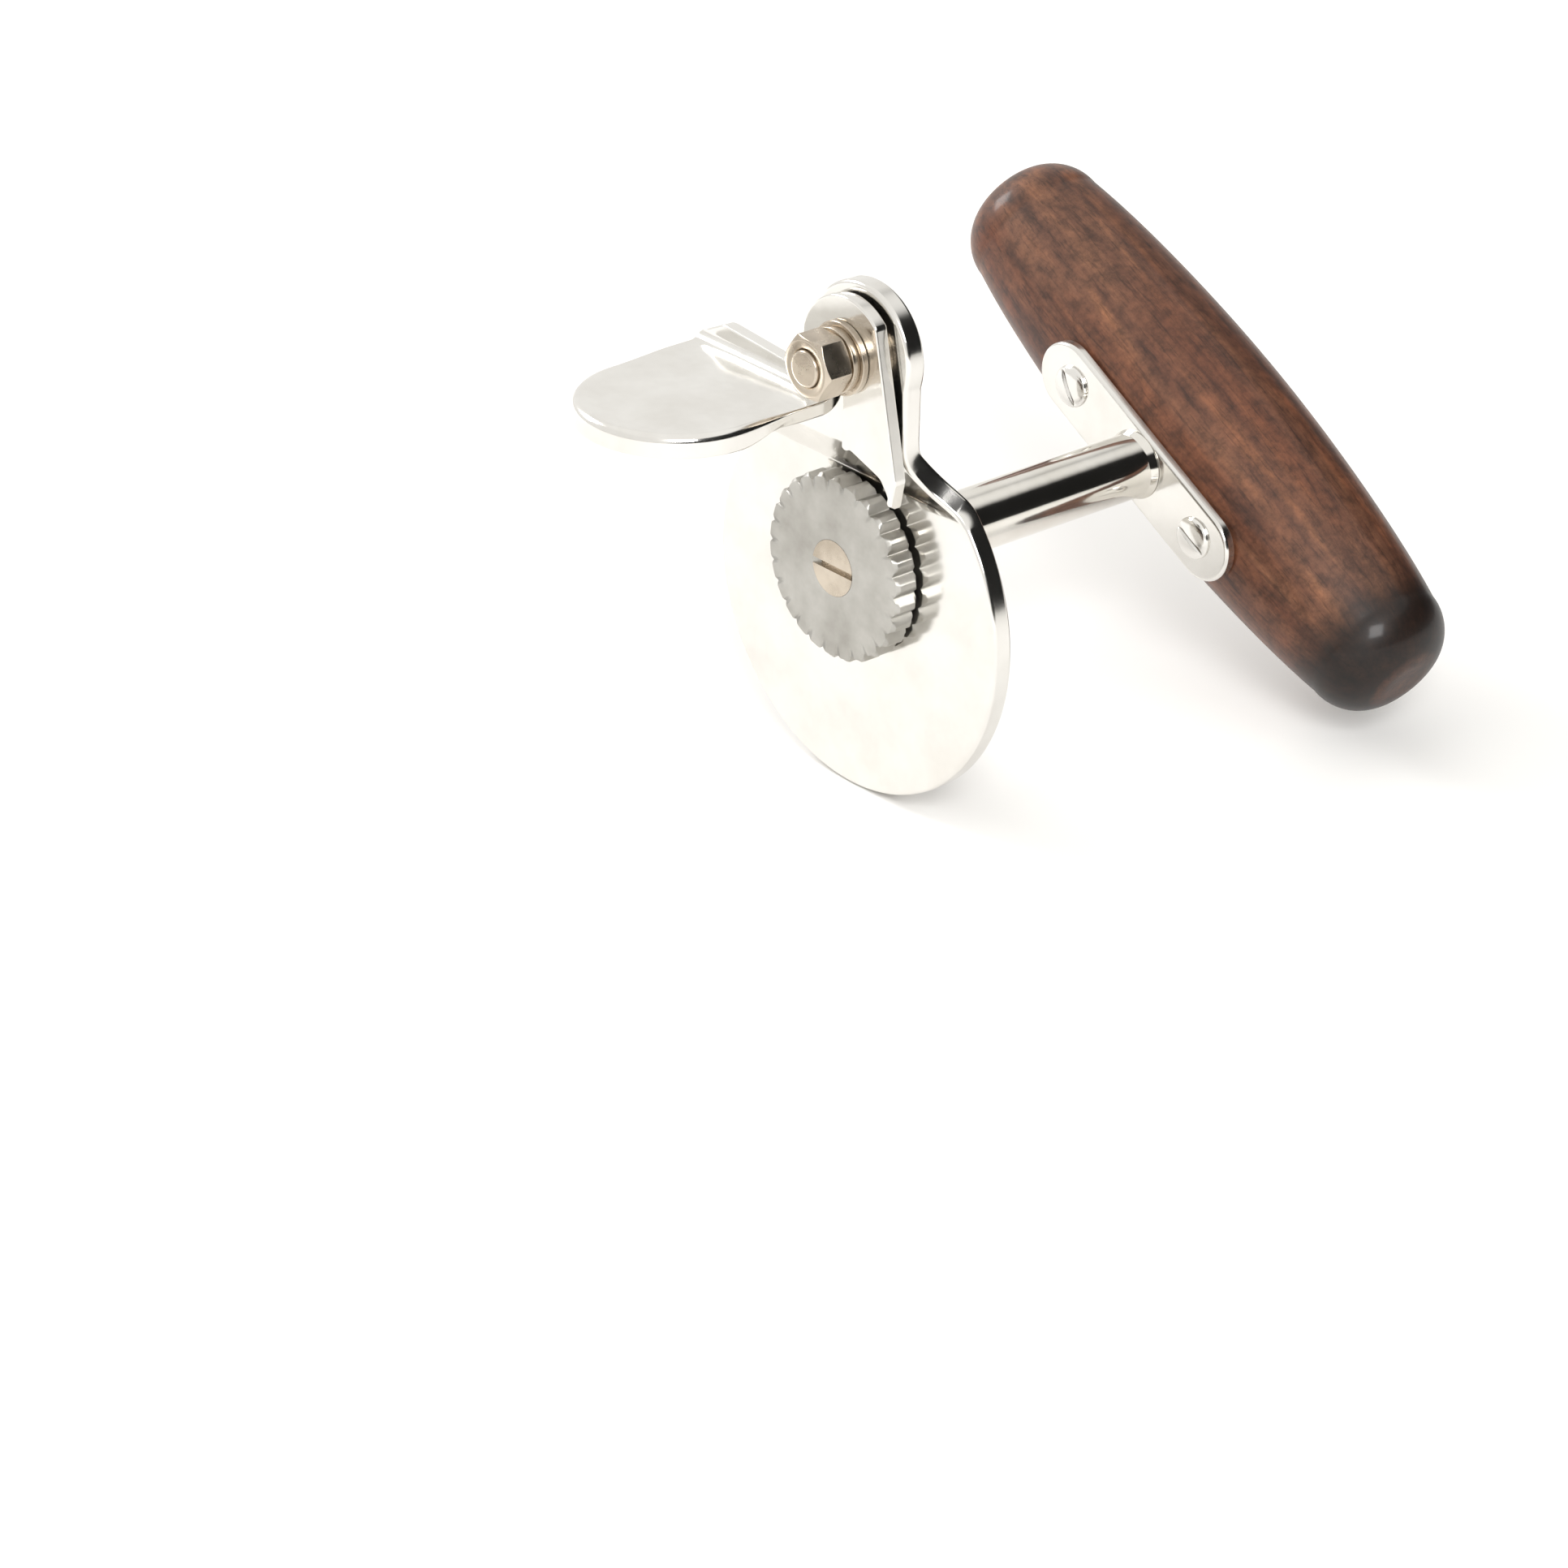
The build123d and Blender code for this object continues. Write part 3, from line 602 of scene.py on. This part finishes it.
dome_r, dome_h, slot_half_w, slot_depth = 3.0, 1.0, 0.35, 0.55
for spot, slot_turn, which in zip(screw_spots, (0, -31), ("near", "far")):
    beside = -slot_half_w + np.array([-0.06, -0.02, 0.02, 0.08])
    lines = np.r_[-np.cos(np.linspace(0, 1.35, 16)) * dome_r, beside]
    lines = np.r_[lines, 0, -lines[::-1]]
    swing = np.linspace(-math.pi / 2, math.pi / 2, 49)
    chord = np.sqrt(np.maximum(dome_r**2 - lines**2, 0))[:, None]
    top_u, top_v = chord * np.sin(swing)[None], lines[:, None] + 0 * swing[None]
    radius = np.minimum(np.hypot(top_u, top_v) / dome_r, 1)
    height = dome_h * (0.12 + 0.88 * np.sqrt(np.maximum(1 - radius**2.4, 0)))
    cut = np.abs(top_v) < slot_half_w
    height = np.where(cut, np.minimum(height, dome_h - slot_depth + 0.02), height)
    under_u, under_v = top_u[:, ::-1], top_v
    u = np.concatenate([top_u, under_u], 1)
    v = np.concatenate([top_v, under_v], 1)
    depth = np.concatenate([-height, 0 * height], 1)
    c, s = math.cos(math.radians(slot_turn)), math.sin(math.radians(slot_turn))
    grid = on_crank(spot + u * c - v * s, u * s + v * c, depth)
    dome = skin("screw_" + which, grid, None, "crank", "bracket_screws", poles=(True, True))
    dome.modifiers.new("flat faces stay flat", "WEIGHTED_NORMAL").keep_sharp = True
    dome.data.materials.append(polished_nickel)
    threads = [(1.1 + 0.45 * (k % 2), 1.7 + 0.5 * k, 0.02) for k in range(14)]
    shank = rounded([(0, -0.02, 0), (1.55, 0, 0.05)] + threads + [(0.3, 9.2, 0.1), (0, 9.9, 0)], steps=3)
    shank_at = spot * along_handle + np.array([0, bracket_y, 0])
    thread = turned("screw_thread_" + which, shank, shank_at, "crank", "plated_steel", None, around=32)
    thread.data.materials.append(zinc_hardware)

# ---- wooden handle --------------------------------------------------------------------
# A barrel of walnut turned on a lathe between centres, stained and dipped in clear varnish.
# A seat is milled along one side for the bracket.

handle_axis_y, handle_shift, handle_half_l, end_corner_r = 67.7, -1.15, 46.75, 7.2
barrel_half_l = 39.55                           # the handle's half length less its corner
side_u = np.array([-barrel_half_l, -34, -28, -20, -10, 0, 10, 20, 28, 34, barrel_half_l])
side_r = np.array([10.3, 11.2, 11.85, 12.58, 13.1, 13.28, 13.1, 12.58, 11.85, 11.2, 10.3])
side_fit = np.polynomial.Polynomial.fit(side_u, side_r, 6)
body_u = np.linspace(-barrel_half_l, barrel_half_l, 220)
turn = np.linspace(0, math.pi / 2, 28)
cap_u = barrel_half_l + end_corner_r * np.sin(turn)
cap_r = side_fit(barrel_half_l) - end_corner_r * (1 - np.cos(turn))
disc = np.linspace(cap_r[-1], 0, 6)[1:]
ends_u = handle_half_l + 0 * disc
profile_u = np.r_[-ends_u, -cap_u[::-1], body_u[1:-1], cap_u, ends_u]
profile_r = np.r_[disc[::-1], cap_r[::-1], side_fit(body_u[1:-1]), cap_r, disc]
angle = np.linspace(0, 2 * math.pi, 256, endpoint=False)
v = profile_r[:, None] * np.sin(angle)[None]
y = handle_axis_y + profile_r[:, None] * np.cos(angle)[None]
u = handle_shift + profile_u[:, None] + 0 * v
over = np.hypot(np.maximum(np.abs(u - bracket_shift) - run, 0), v) < bracket_half_w + 0.15
y = np.where(over, np.maximum(y, bracket_y + bracket_t + 0.01), y)
barrel_grid = on_crank(u, v, y - bracket_y)
barrel = skin("barrel", barrel_grid, None, "crank", "wooden_handle", poles=(True, True))

# Walnut has long dark and amber streaks, fine mottled figure across them, and pores 0.1 to
# 0.3 mm wide and a few millimetres long. Painted shade darkens the near end to nearly black,
# and painted light lifts its trimmed end face back up. The varnish is clear, thin and glossy.
varnished_walnut = bpy.data.materials.new("varnished_walnut")
varnished_walnut.use_nodes = True
tree = varnished_walnut.node_tree
shader = tree.nodes["Principled BSDF"]
where = add_node(tree, "TexCoord").outputs["Object"]
grain = add_node(
    tree, "Mapping", {"Vector": where, "Rotation": (0, -crank_turn, 0)}, vector_type="POINT"
).outputs["Vector"]
long_way = add_node(tree, "Mapping", {"Vector": grain, "Scale": (0.09, 1.0, 1.0)}).outputs["Vector"]
warp = add_node(
    tree, "TexNoise", {"Vector": long_way, "Scale": 120.0, "Detail": 3.0, "Distortion": 0.6}
)
streak = add_node(
    tree, "TexNoise",
    {"Vector": long_way, "Scale": 420.0, "Detail": 8.0, "Roughness": 0.62, "Distortion": 0.4},
)
pores = add_node(
    tree, "TexNoise", {"Vector": long_way, "Scale": 1900.0, "Detail": 3.0, "Roughness": 0.7}
)
mottle = add_node(
    tree, "TexNoise", {"Vector": grain, "Scale": 420.0, "Detail": 5.0, "Roughness": 0.75}
)
tone = add_node(tree, "ValToRGB", {"Fac": streak.outputs["Fac"]})
for place, code in ((0.26, "38231A"), (0.42, "563728"), (0.56, "674431"), (0.76, "7F5439")):
    stop = tone.color_ramp.elements.new(place)
    stop.color = linear(code)
tone.color_ramp.elements.remove(tone.color_ramp.elements[0])
tone.color_ramp.elements.remove(tone.color_ramp.elements[-1])
red = add_node(tree, "ValToRGB", {"Fac": warp.outputs["Fac"]})
red.color_ramp.elements[0].position, red.color_ramp.elements[0].color = 0.4, linear("FFFFFF")
red.color_ramp.elements[1].position, red.color_ramp.elements[1].color = 0.72, linear("E2A878")
figure = add_node(
    tree, "Mix", {0: 0.7, 6: tone.outputs["Color"], 7: red.outputs["Color"]},
    data_type="RGBA", blend_type="MULTIPLY",
)
fleck = add_node(
    tree, "MapRange",
    {"Value": mottle.outputs["Fac"], "From Min": 0.35, "From Max": 0.65, "To Min": 0.58, "To Max": 1.38},
)
pore_depth = add_node(
    tree, "MapRange",
    {"Value": pores.outputs["Fac"], "From Min": 0.34, "From Max": 0.46, "To Min": 0.6, "To Max": 1.0},
)
shade = add_node(
    tree, "Math", {0: fleck.outputs["Result"], 1: pore_depth.outputs["Result"]}, operation="MULTIPLY"
)
split = add_node(tree, "SeparateXYZ", {"Vector": grain})
# Painted shade: the barrel is darkened to nearly black towards its near end. Painted light: its end face is
# lightened again.
end = add_node(
    tree, "MapRange",
    {"Value": split.outputs["X"], "From Min": 0.0315, "From Max": 0.0395, "To Min": 1.0, "To Max": 0.1},
    interpolation_type="SMOOTHSTEP",
)
painted_end_face_light = add_node(
    tree, "MapRange",
    {"Value": split.outputs["X"], "From Min": 0.0450, "From Max": 0.0454, "To Min": 0.0, "To Max": 0.42},
)
painted_end_shade_and_light = add_node(
    tree, "Math", {0: end.outputs["Result"], 1: painted_end_face_light.outputs["Result"]}, operation="MAXIMUM"
)
grain_and_painted_end_shade = add_node(
    tree, "Math", {0: shade.outputs["Value"], 1: painted_end_shade_and_light.outputs["Value"]}, operation="MULTIPLY"
)
colour = add_node(
    tree, "VectorMath", {0: figure.outputs[2], "Scale": grain_and_painted_end_shade.outputs["Value"]}, operation="SCALE"
)
relief = add_node(
    tree, "Bump", {"Height": pores.outputs["Fac"], "Strength": 0.12, "Distance": 0.00004}
)
tree.links.new(colour.outputs["Vector"], shader.inputs["Base Color"])
tree.links.new(relief.outputs["Normal"], shader.inputs["Normal"])
shader.inputs["Roughness"].default_value = 0.5
shader.inputs["Specular IOR Level"].default_value = 0.3
shader.inputs["IOR"].default_value = 1.5
shader.inputs["Coat Weight"].default_value = 0.24
shader.inputs["Coat Roughness"].default_value = 0.15
barrel.data.materials.append(varnished_walnut)

# ---- bush, plain washers, spacer and the wheel's screw --------------------------------
# These are turned or punched steel that keep their plain shapes, so only the zinc plating of
# the other hardware is added.

for node_name in ("shaft_bush", "thrust_washer", "wheel_washer", "pivot_spacer", "wheel_screw"):
    node_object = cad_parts[node_name]
    node_object.data.materials.clear()
    node_object.data.materials.append(zinc_hardware)

# ---- studio ---------------------------------------------------------------------------
# A pale sweep of paper under soft white light, seen from above through a long lens. The
# opener at rest stands 0.2 mm clear of the paper.

reach_m, low = 6.0, cad_box[0].z - 0.0002
floor_mesh = bpy.data.meshes.new("floor")
sides = ((-1, -1), (1, -1), (1, 1), (-1, 1))
floor_mesh.from_pydata([(a * reach_m, b * reach_m, low) for a, b in sides], [], [(0, 1, 2, 3)])
floor = bpy.data.objects.new("floor", floor_mesh)
bpy.context.scene.collection.objects.link(floor)
paper = bpy.data.materials.new("white_paper")
paper.use_nodes = True
paper.node_tree.nodes["Principled BSDF"].inputs["Base Color"].default_value = linear("F7F6F4")
paper.node_tree.nodes["Principled BSDF"].inputs["Roughness"].default_value = 0.9
floor_mesh.materials.append(paper)
# The standard view keeps white paper white and leaves the wood's colours as they are given.
bpy.context.scene.view_settings.view_transform = "Standard"

# The room is white overhead and dark on the side towards +X and +Y, which gives the polished
# metal its dark bands. The camera itself sees a plain pale backdrop all round.
sky = bpy.data.worlds.new("studio")
bpy.context.scene.world = sky
sky.use_nodes = True
tree = sky.node_tree
way = add_node(tree, "TexCoord").outputs["Generated"]
height = add_node(tree, "SeparateXYZ", {"Vector": way})
side = add_node(tree, "VectorMath", {0: way, 1: (0.75, 0.6, 0.0)}, operation="DOT_PRODUCT")
dim = add_node(
    tree, "MapRange",
    {"Value": side.outputs["Value"], "From Min": 0.0, "From Max": 0.45, "To Min": 0.95, "To Max": 0.015},
    interpolation_type="SMOOTHSTEP",
)
lift = add_node(
    tree, "MapRange",
    {"Value": height.outputs["Z"], "From Min": 0.66, "From Max": 0.78, "To Min": 0.0, "To Max": 1.0},
    interpolation_type="SMOOTHSTEP",
)
level = add_node(
    tree, "Math", {0: dim.outputs["Result"], 1: lift.outputs["Result"]}, operation="MAXIMUM"
)
strength = add_node(tree, "Math", {0: level.outputs["Value"], 1: 1.08}, operation="MULTIPLY")
seen = add_node(tree, "LightPath").outputs["Is Camera Ray"]
backdrop = add_node(tree, "Math", {0: strength.outputs["Value"], 1: seen}, operation="MAXIMUM")
tree.links.new(backdrop.outputs["Value"], tree.nodes["Background"].inputs["Strength"])
tree.nodes["Background"].inputs["Color"].default_value = linear("FFFEFB")

for lamp_name, place, size, power in (
    ("key_softbox", (0.75, -0.45, 0.6), 0.42, 7.5),
    ("fill_softbox", (-0.9, -0.3, 0.6), 0.4, 6.0),
):
    lamp = bpy.data.lights.new(lamp_name, "AREA")
    lamp.size = size
    lamp.energy = power
    lamp_object = bpy.data.objects.new(lamp_name, lamp)
    lamp_object.location = place
    lamp_object.rotation_euler = (-Vector(place)).to_track_quat("-Z", "Y").to_euler()
    bpy.context.scene.collection.objects.link(lamp_object)

camera = bpy.data.cameras.new("camera")
camera.lens, camera.sensor_width, camera.clip_end = 128.4, 36, 50
camera_object = bpy.data.objects.new("camera", camera)
bpy.context.scene.collection.objects.link(camera_object)
bpy.context.scene.camera = camera_object
camera_at = Vector((0.496836, -0.449004, 0.307805))
azimuth, elevation, roll = (math.radians(degrees) for degrees in (48.493, 26.945, 1.411))
flat_share = math.cos(elevation)
back = Vector((math.sin(azimuth) * flat_share, -math.cos(azimuth) * flat_share, math.sin(elevation)))
right = Vector((math.cos(azimuth), math.sin(azimuth), 0))
up = back.cross(right)
level_right = right * math.cos(roll) + up * math.sin(roll)
level_up = up * math.cos(roll) - right * math.sin(roll)
turn_to = Matrix((level_right, level_up, back)).transposed().to_4x4()
camera_object.matrix_world = Matrix.Translation(camera_at) @ turn_to
